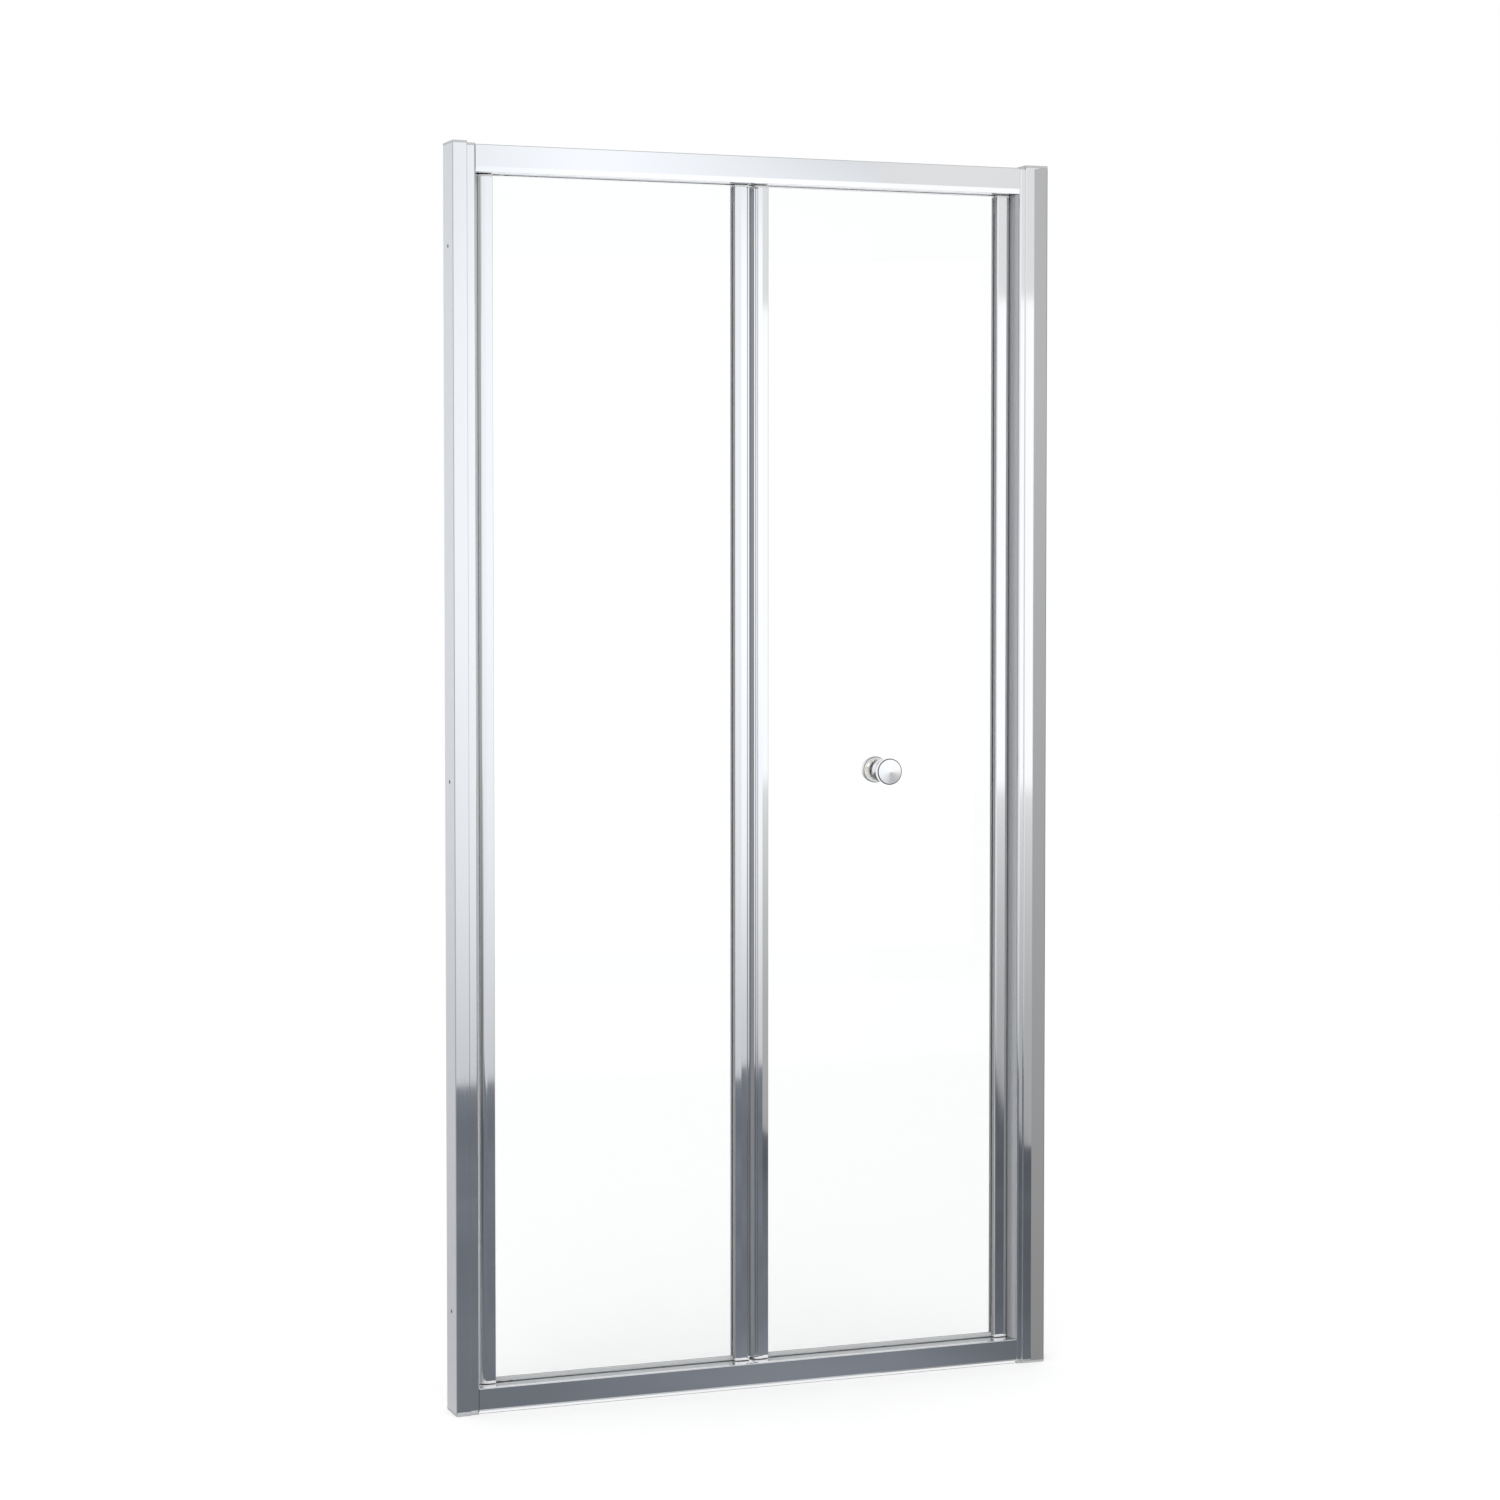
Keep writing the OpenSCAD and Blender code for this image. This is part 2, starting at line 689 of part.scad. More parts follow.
// Ribs that hold the glazing gasket, grown by fit
module glass_ribs(w, fit) {
    for (side = [0, 1]) mirror([0, side]) translate([w - lip_l - fit, slot_w / 2 - fit])
        square([lip_l + fit, stile_t + 2 * fit]);
}

module at_block_screw(kind) {
    translate([pin_in(kind), stile_r, leaf_z + end_block_h / 2]) rotate([-90, 0, 0]) children();
}

module stile(kind) {
    w = stile_w(kind);
    z0 = leaf_z + end_cap_t;
    difference() {
        translate([0, 0, z0]) linear_extrude(2 * (mid_z - z0)) difference() {
            stile_shape(kind, 0);
            stile_hollow(kind, 0);
            translate([w - lip_l, -slot_w / 2]) square([lip_l + cut, slot_w]);
            if (has_hinge(kind)) {
                hinge_notch(0);
                translate([hinge_inset, hinge_axis_y]) circle(r = hinge_bead_d / 2 + pin_fit);
            }
        }
        both_ends() at_block_screw(kind)
            flat_hole(block_screw_r, stile_t + cut, flat_head_r, flat_head_t);
    }
}

// Block in the end of a stile, with a cap that covers the end; pin_r is 0 where it holds no pin
module end_blocks(kind, pin_r) {
    w = stile_w(kind);
    glass_room = glass_cover + part_fit;
    color(cap_white) both_ends() difference() {
        union() {
            translate([0, 0, leaf_z]) linear_extrude(end_cap_t) stile_shape(kind, 0);
            translate([0, 0, leaf_z]) linear_extrude(end_block_h) stile_hollow(kind, part_fit);
        }
        translate([w - glass_room, -glass_t / 2 - part_fit, leaf_z + glass_end_gap - part_fit])
            cube([glass_room + cut, glass_t + 2 * part_fit, end_block_h]);
        if (pin_r > 0) translate([pin_in(kind), 0, leaf_z - cut])
            cylinder(r = pin_r + press_fit, h = pin_grip + part_fit + cut);
        at_block_screw(kind) flat_hole(block_screw_r, block_screw_l, flat_head_r, flat_head_t);
    }
}

module block_screws(kind) {
    both_ends() at_block_screw(kind) flat_screw(block_screw_r, block_screw_l, flat_head_r, flat_head_t);
}

// Gasket round the edge of the glass, with a flange over the side of the stile
module gasket(kind) {
    w = stile_w(kind);
    z0 = leaf_z + end_cap_t;
    translate([0, 0, leaf_z + end_block_h]) linear_extrude(leaf_h - 2 * end_block_h) difference() {
        translate([w - lip_l, -slot_w / 2]) square([lip_l + gasket_lip, slot_w]);
        translate([w - glass_grip, -glass_t / 2]) square([lip_l + cut, glass_t]);
    }
    translate([0, 0, z0]) linear_extrude(2 * (mid_z - z0)) for (side = [0, 1]) mirror([0, side])
        translate([w, glass_t / 2]) square([gasket_lip, gasket_flange]);
}

// Glass between two visible edges, with its corners cut back round the end blocks
module glass_outline(x) {
    z0 = leaf_z + glass_end_gap;
    z1 = leaf_z + end_block_h;
    translate([x[0] - glass_cover, z0]) square([x[1] - x[0] + 2 * glass_cover, 2 * (mid_z - z0)]);
    translate([x[0] - glass_grip, z1]) square([x[1] - x[0] + 2 * glass_grip, 2 * (mid_z - z1)]);
}

module glass_sheet() {
    translate([0, glass_t / 2, 0]) rotate([90, 0, 0]) linear_extrude(glass_t) children();
}

// Clip on the lower edge of the glass, with a fin that wipes the rail
module bottom_seal(x) {
    z0 = leaf_z + glass_end_gap;
    fin_z = bottom_rail_h + run_gap;
    foot_z = leaf_z - run_gap / 2;
    half = glass_t / 2 + bottom_seal_wall;
    color(clear_plastic) along_x(x[0] + gasket_lip + run_gap, x[1] - gasket_lip - run_gap) {
        difference() {
            translate([-half, foot_z]) square([2 * half, z0 + bottom_seal_up - foot_z]);
            translate([-glass_t / 2, z0]) square([glass_t, bottom_seal_up + cut]);
        }
        translate([-bottom_seal_fin / 2, fin_z]) square([bottom_seal_fin, foot_z - fin_z]);
    }
}

// ---- pivot leaf ----

module leaf_1_glass() color(clear_glass) glass_sheet() glass_outline(leaf_1_glass_x);
module leaf_1_pivot_stile() color(chrome) on_edge(pivot_edge_x, 1) stile("pivot");
module leaf_1_hinge_stile() color(chrome) on_edge(leaf_1_end_x, -1) stile("hinge 1");

module leaf_1_glazing_gaskets() {
    color(seal_grey) {
        on_edge(pivot_edge_x, 1) gasket("pivot");
        on_edge(leaf_1_end_x, -1) gasket("hinge 1");
    }
}

module leaf_1_pivot_end_blocks() {
    on_edge(pivot_edge_x, 1) end_blocks("pivot", pivot_pin_d / 2);
}

module leaf_1_hinge_end_blocks() {
    on_edge(leaf_1_end_x, -1) end_blocks("hinge 1", 0);
}

module leaf_1_pivot_pins() {
    color(steel) both_ends() translate([pivot_x, 0, bottom_rail_h - pivot_depth])
        cylinder(d = pivot_pin_d, h = pivot_depth + leaf_gap + pin_grip);
}

module leaf_1_bottom_seal() bottom_seal(leaf_1_glass_x);

module leaf_1_block_screws() {
    color(steel) {
        on_edge(pivot_edge_x, 1) block_screws("pivot");
        on_edge(leaf_1_end_x, -1) block_screws("hinge 1");
    }
}

// ---- centre hinge ----

module at_hinge_axes() {
    for (x = [hinge_axis_1_x, hinge_axis_2_x]) translate([x, hinge_axis_y, 0]) children();
}

hinge_washer_z = leaf_z + end_cap_t + run_gap;
hinge_link_z = hinge_washer_z + hinge_washer_t;

// Two beads joined by a web, as long as the stiles
module hinge_link_profile() {
    color(steel) translate([0, 0, hinge_link_z]) linear_extrude(2 * (mid_z - hinge_link_z)) {
        at_hinge_axes() circle(d = hinge_bead_d);
        translate([hinge_axis_1_x, hinge_axis_y - hinge_web_t / 2]) square([hinge_pitch, hinge_web_t]);
    }
}

// Soft strip on the front of the web that closes the gap between the leaves
module hinge_gap_seal() {
    front = -stile_r + gap_seal_recess;
    color(seal_grey) translate([centre_x, 0, hinge_link_z]) linear_extrude(2 * (mid_z - hinge_link_z))
        translate([-gap_seal_w / 2, front]) square([gap_seal_w, hinge_axis_y - hinge_web_t / 2 - front]);
}

// Discs that the beads turn on, between them and the caps of the stiles
module hinge_washers() {
    color(nylon) both_ends() at_hinge_axes() translate([0, 0, hinge_washer_z])
        cylinder(d = hinge_bead_d, h = hinge_washer_t);
}

// ---- closing leaf ----

module leaf_2_glass() {
    color(clear_glass) glass_sheet() difference() {
        glass_outline(leaf_2_glass_x);
        translate([knob_x, knob_z]) circle(d = glass_hole_d);
    }
}

module leaf_2_hinge_stile() color(chrome) on_edge(leaf_2_start_x, 1) stile("hinge 2");
module leaf_2_closing_stile() color(chrome) on_edge(closing_edge_x, -1) stile("closing");

module leaf_2_glazing_gaskets() {
    color(seal_grey) {
        on_edge(leaf_2_start_x, 1) gasket("hinge 2");
        on_edge(closing_edge_x, -1) gasket("closing");
    }
}

module leaf_2_hinge_end_blocks() {
    on_edge(leaf_2_start_x, 1) end_blocks("hinge 2", 0);
}

module leaf_2_guide_end_blocks() {
    on_edge(closing_edge_x, -1) end_blocks("closing", guide_pin_d / 2);
}

module leaf_2_bottom_seal() bottom_seal(leaf_2_glass_x);

module leaf_2_block_screws() {
    color(steel) {
        on_edge(leaf_2_start_x, 1) block_screws("hinge 2");
        on_edge(closing_edge_x, -1) block_screws("closing");
    }
}

module leaf_2_magnet() {
    z0 = leaf_z + end_block_h;
    color(magnet_black) on_edge(closing_edge_x, -1) translate([stile_t, -magnet_w / 2, z0])
        cube([magnet_t, magnet_w, 2 * (mid_z - z0)]);
}

// ---- guides ----

roller_z = bottom_rail_h - roller_drop - roller_h;
clip_z = roller_z - roller_play - clip_t;

module leaf_2_guide_pins() {
    pin_z = clip_z - guide_pin_tail;
    shoulder_z = roller_z + roller_h + roller_play;
    color(steel) both_ends() translate([guide_x, 0, 0]) difference() {
        union() {
            translate([0, 0, pin_z]) cylinder(d = guide_pin_d, h = leaf_z + pin_grip - pin_z);
            translate([0, 0, shoulder_z]) cylinder(r = guide_shoulder_r, h = leaf_z - shoulder_z);
        }
        translate([0, 0, clip_z - part_fit]) difference() {
            cylinder(d = guide_pin_d + cut, h = clip_t + 2 * part_fit);
            translate([0, 0, -cut]) cylinder(r = guide_pin_d / 2 - clip_cut, h = clip_t + 2 * cut);
        }
    }
}

module roller_clips() {
    color(steel) both_ends() translate([guide_x, 0, clip_z]) difference() {
        cylinder(r = clip_out_r, h = clip_t);
        translate([0, 0, -cut])
            cylinder(r = guide_pin_d / 2 - clip_cut + press_fit, h = clip_t + 2 * cut);
        translate([0, -clip_mouth / 2, -cut]) cube([clip_out_r + cut, clip_mouth, clip_t + 2 * cut]);
    }
}

module roller() {
    r = roller_d / 2;
    color(nylon) translate([guide_x, 0, roller_z]) rotate_extrude() polygon([
        [guide_pin_d / 2 + pin_fit, 0], [r - roller_bevel, 0], [r, roller_bevel],
        [r, roller_h - roller_bevel], [r - roller_bevel, roller_h], [guide_pin_d / 2 + pin_fit, roller_h]
    ]);
}

module bottom_roller() roller();
module top_roller() at_head() roller();

// ---- knobs ----

// Turned knob on the z axis, standing on its foot at z = 0
module knob() {
    waist_h = knob_l - knob_head_l - knob_foot_t;
    head_z0 = knob_foot_t + waist_h;
    face_z = knob_l - knob_crown;
    r = knob_d / 2;
    color(chrome) rotate_extrude() difference() {
        union() {
            square([knob_foot_d / 2, knob_foot_t]);
            difference() {
                polygon([
                    [0, knob_foot_t], [knob_foot_d / 2, knob_foot_t],
                    [r - knob_edge, head_z0], [0, head_z0]
                ]);
                translate([(knob_neck_d + waist_h) / 2, knob_foot_t + waist_h / 2])
                    circle(d = waist_h);
            }
            polygon([
                [0, head_z0], [r - knob_edge, head_z0], [r, head_z0 + knob_edge],
                [r, face_z - knob_edge], [r - knob_edge, face_z], [0, knob_l]
            ]);
        }
        translate([-cut, -cut])
            square([knob_stud_d / 2 + press_fit + cut, stud_grip + part_fit + cut]);
    }
}

module at_knob() translate([knob_x, 0, knob_z]) children();

module knob_on_glass() {
    translate([0, -glass_t / 2 - knob_washer_t, 0]) rotate([90, 0, 0]) knob();
}

module knob_outer() at_knob() knob_on_glass();
module knob_inner() at_knob() mirror([0, 1, 0]) knob_on_glass();

module knob_stud() {
    l = glass_t + 2 * knob_washer_t + 2 * stud_grip;
    color(steel) at_knob() translate([0, l / 2, 0]) rotate([90, 0, 0]) cylinder(d = knob_stud_d, h = l);
}

// Washer on each face of the glass, with a bush that reaches into the hole
module knob_washers() {
    bush_l = glass_t / 2 - part_fit;
    color(nylon) at_knob() for (side = [0, 1]) mirror([0, side, 0])
        translate([0, -glass_t / 2, 0]) rotate([90, 0, 0]) difference() {
            union() {
                cylinder(r = knob_washer_r, h = knob_washer_t);
                translate([0, 0, -bush_l]) cylinder(r = glass_hole_d / 2 - part_fit, h = bush_l);
            }
            translate([0, 0, -bush_l - cut])
                cylinder(r = knob_stud_d / 2 + part_fit, h = bush_l + knob_washer_t + 2 * cut);
        }
}

// ---- the nodes ----

wall_profile_left();
wall_profile_right();
wall_profile_caps();
jamb_profile_left();
jamb_profile_right();
jamb_caps();
jamb_lock_screws();
screw_cover_caps();
top_rail();
bottom_rail();
top_rail_screws();
bottom_rail_screws();
top_pivot_block();
bottom_pivot_block();
pivot_block_screws();
pivot_washers();
pivot_jamb_seal();
strike_seal();
strike_magnet();
guide_stops();
leaf_1_glass();
leaf_1_pivot_stile();
leaf_1_hinge_stile();
leaf_1_glazing_gaskets();
leaf_1_pivot_end_blocks();
leaf_1_hinge_end_blocks();
leaf_1_pivot_pins();
leaf_1_bottom_seal();
leaf_1_block_screws();
hinge_link_profile();
hinge_gap_seal();
hinge_washers();
leaf_2_glass();
leaf_2_hinge_stile();
leaf_2_closing_stile();
leaf_2_glazing_gaskets();
leaf_2_hinge_end_blocks();
leaf_2_guide_end_blocks();
leaf_2_guide_pins();
leaf_2_bottom_seal();
leaf_2_block_screws();
leaf_2_magnet();
knob_outer();
knob_inner();
knob_stud();
knob_washers();
top_roller();
bottom_roller();
roller_clips();
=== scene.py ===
import json
import math

import bmesh
import bpy
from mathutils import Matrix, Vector


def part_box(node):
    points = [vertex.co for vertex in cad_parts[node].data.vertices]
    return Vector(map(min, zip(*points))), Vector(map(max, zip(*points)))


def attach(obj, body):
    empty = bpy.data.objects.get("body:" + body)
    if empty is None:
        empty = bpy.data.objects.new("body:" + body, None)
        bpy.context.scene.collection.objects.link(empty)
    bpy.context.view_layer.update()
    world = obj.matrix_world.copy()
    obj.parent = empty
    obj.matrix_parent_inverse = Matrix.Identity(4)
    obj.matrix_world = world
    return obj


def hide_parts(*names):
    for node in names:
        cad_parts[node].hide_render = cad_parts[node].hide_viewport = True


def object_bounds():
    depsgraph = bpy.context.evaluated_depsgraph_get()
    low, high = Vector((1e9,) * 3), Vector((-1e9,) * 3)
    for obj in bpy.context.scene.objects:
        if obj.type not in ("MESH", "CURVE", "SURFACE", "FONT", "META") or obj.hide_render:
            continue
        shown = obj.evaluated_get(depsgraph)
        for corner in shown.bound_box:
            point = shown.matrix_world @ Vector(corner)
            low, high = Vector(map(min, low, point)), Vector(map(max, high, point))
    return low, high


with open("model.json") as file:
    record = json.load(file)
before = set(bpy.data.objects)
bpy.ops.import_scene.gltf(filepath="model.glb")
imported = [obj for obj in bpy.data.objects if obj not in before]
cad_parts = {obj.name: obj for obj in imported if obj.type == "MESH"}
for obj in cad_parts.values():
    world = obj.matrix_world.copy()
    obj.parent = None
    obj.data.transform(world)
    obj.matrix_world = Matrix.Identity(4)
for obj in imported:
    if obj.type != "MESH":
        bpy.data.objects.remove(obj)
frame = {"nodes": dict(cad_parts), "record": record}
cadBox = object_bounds()
scene = bpy.context.scene
bodyOf = {node: body for body, nodes in frame["record"]["behaviour"]["bodies"].items() for node in nodes}
print("frame loaded:", len(frame["nodes"]), "nodes")


# Shader maths: a Value wraps one output socket, and a Finish builds one node tree
class Value:
    def __init__(self, finish, socket):
        self.finish = finish
        self.socket = socket

    def __add__(self, other):
        return self.finish.calc("ADD", self, other)

    def __sub__(self, other):
        return self.finish.calc("SUBTRACT", self, other)

    def __rsub__(self, other):
        return self.finish.calc("SUBTRACT", other, self)

    def __mul__(self, other):
        return self.finish.calc("MULTIPLY", self, other)

    __radd__ = __add__
    __rmul__ = __mul__


class Finish:
    def __init__(self, name, tree=None):
        if tree is None:
            self.material = bpy.data.materials.new(name)
            self.material.use_nodes = True
            tree = self.material.node_tree
        self.tree = tree
        self.tree.nodes.clear()

    def node(self, kind, settings=None, inputs=None, out=0):
        made = self.tree.nodes.new(kind)
        for key, value in (settings or {}).items():
            if key == "stops":
                ramp = made.color_ramp.elements
                while len(ramp) < len(value):
                    ramp.new(1.0)
                for stop, (position, tone) in zip(ramp, value):
                    stop.position = position
                    stop.color = (tone, tone, tone, 1)
            else:
                setattr(made, key, value)
        for key, value in (inputs or {}).items():
            if isinstance(value, Value):
                self.tree.links.new(value.socket, made.inputs[key])
            else:
                made.inputs[key].default_value = value
        return Value(self, made.outputs[out]) if len(made.outputs) else made

    def calc(self, operation, *terms):
        return self.node("ShaderNodeMath", {"operation": operation}, dict(enumerate(terms)))

    def coords(self):
        return self.node("ShaderNodeTexCoord", out="Object")

    def axis(self, letter, vector):
        return self.node("ShaderNodeSeparateXYZ", {}, {0: vector}, out=letter)

    def place(self, scale=(1, 1, 1), offset=(0, 0, 0)):
        return self.node("ShaderNodeMapping", {}, {
            "Vector": self.coords(), "Scale": scale, "Location": offset})

    def noise(self, scale, at, detail=2.0):
        return self.node("ShaderNodeTexNoise", {}, {"Vector": at, "Scale": scale, "Detail": detail})

    def band(self, value, low, high, outLow, outHigh):
        return self.node("ShaderNodeMapRange", {}, {0: value, 1: low, 2: high, 3: outLow, 4: outHigh})

    def tint(self, factor, first, second):
        return self.node("ShaderNodeMix", {"data_type": "RGBA"},
                         {0: factor, 6: (*first, 1), 7: (*second, 1)}, out=2)

    def ramp(self, factor, stops):
        return self.node("ShaderNodeValToRGB", {"stops": stops}, {0: factor})

    def bump(self, height, strength, distance):
        return self.node("ShaderNodeBump", {}, {"Height": height, "Strength": strength, "Distance": distance})

    def seenDirectly(self):  # 1 for what the camera, a polished surface or glass shows
        paths = [self.node("ShaderNodeLightPath", out=kind)
                 for kind in ("Is Camera Ray", "Is Glossy Ray", "Is Transmission Ray")]
        return self.calc("MAXIMUM", self.calc("MAXIMUM", paths[0], paths[1]), paths[2])

    def principled(self, **sockets):
        shader = self.node("ShaderNodeBsdfPrincipled", {},
                           {key.replace("_", " "): value for key, value in sockets.items()})
        self.node("ShaderNodeOutputMaterial", {}, {"Surface": shader})
        return self.material

    def glow(self, colour, tone):
        lit = self.node("ShaderNodeVectorMath", {"operation": "SCALE"}, {0: colour, "Scale": tone})
        light = self.node("ShaderNodeEmission", {}, {"Color": lit, "Strength": 1.0})
        self.node("ShaderNodeOutputMaterial", {}, {"Surface": light})
        return self.material


def scaled(colour, amount):
    return tuple(c * amount for c in colour)


# Finishes
metal = {
    "tone": (0.905, 0.912, 0.925), "patina": 0.975, "roughness": 0.045, "dieLines": 0.12,
    "dieDepth": 0.000004, "dieAcross": 700.0, "dieAlong": 1.5, "cloud": 5.0,
}


def polished(name, along):  # bright extrusion, with faint die lines along it and a little haze
    f = Finish(name)
    stretch = [metal["dieAcross"]] * 3
    stretch["XYZ".index(along)] = metal["dieAlong"]
    lines = f.noise(1.0, f.place(scale=stretch))
    haze = f.noise(metal["cloud"], f.coords())
    return f.principled(
        Base_Color=f.tint(haze, metal["tone"], scaled(metal["tone"], metal["patina"])),
        Metallic=1.0,
        Roughness=f.band(lines * 0.5 + haze * 0.5, 0.3, 0.7,
                         metal["roughness"] * 0.6, metal["roughness"] * 1.5),
        Normal=f.bump(lines, metal["dieLines"], metal["dieDepth"]))


# Plastic or rubber with a fine moulded grain and a little unevenness of tone and gloss
def moulded(name, tone, mottle, roughness, grain, depth, **more):
    f = Finish(name)
    fine = f.noise(grain, f.coords(), detail=4.0)
    broad = f.noise(14.0, f.coords())
    return f.principled(
        Base_Color=f.tint(broad, tone, scaled(tone, mottle)),
        Roughness=f.band(fine, 0.3, 0.7, roughness * 0.85, roughness * 1.15),
        Normal=f.bump(fine, 0.3, depth), **more)


def clearGlass(name):  # clear toughened glass, with the faintest wipe marks in its gloss
    f = Finish(name)
    wipe = f.noise(1.0, f.place(scale=(9.0, 9.0, 2.5)), detail=3.0)
    return f.principled(
        Base_Color=f.tint(wipe, (0.992, 1.0, 0.997), (0.985, 0.997, 0.992)),
        Roughness=f.band(wipe, 0.4, 0.8, 0.0, 0.012), Transmission_Weight=1.0, IOR=1.5)


def smallMetal(name, tone, roughness, grain):  # plain machined metal, with a fine even grain
    f = Finish(name)
    haze = f.noise(60.0, f.coords())
    lines = f.noise(grain, f.coords(), detail=3.0)
    return f.principled(
        Base_Color=f.tint(haze, tone, scaled(tone, 0.96)), Metallic=1.0,
        Roughness=f.band(lines, 0.3, 0.7, roughness * 0.7, roughness * 1.4),
        Normal=f.bump(lines, 0.1, 0.000003))


# Turned metal, with fine rings round the axis of the knobs
def turnedMetal(name, tone, roughness, centre):
    f = Finish(name)
    spot = f.place(offset=(-centre.x, 0, -centre.z))
    x, z = f.axis("X", spot), f.axis("Z", spot)
    out = f.calc("SQRT", x * x + z * z)
    rings = f.node("ShaderNodeTexNoise", {"noise_dimensions": "1D"},
                   {"W": out, "Scale": 2600.0, "Detail": 2.0})
    haze = f.noise(60.0, f.coords())
    return f.principled(
        Base_Color=f.tint(haze, tone, scaled(tone, 0.97)), Metallic=1.0,
        Roughness=f.band(rings, 0.3, 0.7, roughness * 0.75, roughness * 1.3),
        Normal=f.bump(rings, 0.12, 0.000002))


low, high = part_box("knob_outer")
knobAxis = Vector(((low.x + high.x) / 2, 0, (low.z + high.z) / 2))
finishes = {
    "polishZ": polished("polished metal upright", "Z"),
    "polishX": polished("polished metal across", "X"),
    "glass": clearGlass("clear glass"),
    "mill": smallMetal("unpolished metal", (0.80, 0.81, 0.825), 0.42, 1400.0),
    "knob": turnedMetal("turned chrome", (0.92, 0.925, 0.935), 0.13, knobAxis),
    # Dark rim tone: painted shade, the dark outline round the knob's face
    "knobRimPaintedShade": turnedMetal("shaded knob rim", (0.20, 0.20, 0.207), 0.25, knobAxis),
    # Darker brownish tone on the inner knob's back: painted shade, where it is seen through the glass
    "knobBackPaintedShade": turnedMetal("satin knob back with painted shade", (0.70, 0.675, 0.655), 0.30, knobAxis),
    "steel": smallMetal("stainless steel", (0.62, 0.63, 0.65), 0.26, 900.0),
    "nylon": moulded("black nylon", (0.022, 0.022, 0.024), 0.8, 0.42, 2500.0, 0.00003),
    "seal": moulded("satin grey seal", (0.38, 0.39, 0.41), 0.93, 0.34, 1500.0, 0.00002),
    "gapSeal": moulded("mid grey seal", (0.215, 0.22, 0.235), 0.93, 0.34, 1500.0, 0.00002),
    "gasket": moulded("grey glazing gasket", (0.33, 0.335, 0.345), 0.9, 0.45, 1800.0, 0.00003),
    "wiper": moulded("light grey wiper", (0.56, 0.565, 0.58), 0.95, 0.34, 1500.0, 0.00002),
    "clear": moulded("clear flexible seal", (0.90, 0.92, 0.925), 0.98, 0.3, 600.0, 0.00002, Alpha=0.55),
    "cap": moulded("white plastic", (0.92, 0.925, 0.93), 0.975, 0.34, 1600.0, 0.00002),
    "endCap": moulded("light grey plastic", (0.50, 0.505, 0.515), 0.96, 0.34, 1600.0, 0.00002),
    "magnet": moulded("bonded magnet", (0.03, 0.03, 0.032), 0.85, 0.55, 3000.0, 0.00004),
}
slotFinish = {
    "polished_profile": "polishZ", "glass": "glass", "knob_chrome": "knob", "steel": "steel",
    "nylon": "nylon", "grey_seal": "seal", "clear_seal": "clear", "cap_plastic": "cap", "magnet": "magnet",
}
nodeFinish = {  # nodes whose finish differs from their slot's
    "top_rail": "polishX", "bottom_rail": "polishX", "hinge_gap_seal": "gapSeal", "pivot_jamb_seal": "wiper",
    "leaf_1_glazing_gaskets": "gasket", "leaf_2_glazing_gaskets": "gasket",
    "wall_profile_caps": "endCap", "jamb_caps": "endCap",
}
slotOf = {part["node"]: part["material_slot"] for part in frame["record"]["subparts"]}
for name, node in frame["nodes"].items():
    node.data.materials.clear()
    node.data.materials.append(finishes[nodeFinish.get(name, slotFinish[slotOf[name]])])
print("finishes ready:", len(finishes))


# Merging and rounding: distances in metres, angles in degrees
rounding = {"merge": 1e-6, "sliver": 1e-7, "flat": 0.4, "corner": 25.0, "steps": 3, "longRun": 0.02}


def mergedCopy(name):
    shape = bmesh.new()
    shape.from_mesh(frame["nodes"][name].data)
    bmesh.ops.remove_doubles(shape, verts=shape.verts, dist=rounding["merge"])
    return shape


# Dressed pieces: a merged copy of a node, with its corners rounded off, or only those along one axis
def dress(name, edge, along="", rough=None):
    shape = mergedCopy(name)
    bmesh.ops.dissolve_limit(shape, angle_limit=math.radians(rounding["flat"]), verts=shape.verts,
                             edges=shape.edges)
    chosen = []
    for side in shape.edges:
        if len(side.link_faces) != 2 or side.calc_face_angle_signed() < math.radians(rounding["corner"]):
            continue
        run = side.verts[1].co - side.verts[0].co
        if not along or abs(run["XYZ".index(along)]) > rounding["longRun"]:
            chosen.append(side)
    bmesh.ops.bevel(shape, geom=chosen, offset=edge, offset_type="OFFSET", segments=rounding["steps"],
                    profile=0.5, affect="EDGES", clamp_overlap=not along, material=-1)
    bmesh.ops.dissolve_degenerate(shape, dist=rounding["sliver"], edges=shape.edges)
    shape.normal_update()
    for face in shape.faces:
        if rough and rough(face.calc_center_median(), face.normal):
            face.material_index = 1
    settle(shape, name, [finishes["mill"]] if rough else [])


crease = {"angle": 40.0, "facetAngle": 3.0, "facetWidth": 0.004}


# Smooth shading, crisp at sharp edges and where two wide flats meet; then the piece joins its body
def settle(shape, name, more=()):
    for face in shape.faces:
        face.smooth = True
    for side in shape.edges:
        if len(side.link_faces) == 2:
            turn = math.degrees(side.calc_face_angle())
            length = max(side.calc_length(), rounding["merge"])
            width = min(face.calc_area() for face in side.link_faces) / length
            wide = turn > crease["facetAngle"] and width > crease["facetWidth"]
            side.smooth = not wide and turn < crease["angle"]
    mesh = bpy.data.meshes.new(name + ".dressed")
    shape.to_mesh(mesh)
    shape.free()
    for material in [frame["nodes"][name].data.materials[0], *more]:
        mesh.materials.append(material)
    piece = bpy.data.objects.new(name + ".dressed", mesh)
    scene.collection.objects.link(piece)
    normals = piece.modifiers.new("face normals", "WEIGHTED_NORMAL")
    normals.weight = 100
    normals.keep_sharp = True
    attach(piece, bodyOf[name])
    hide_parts(name)


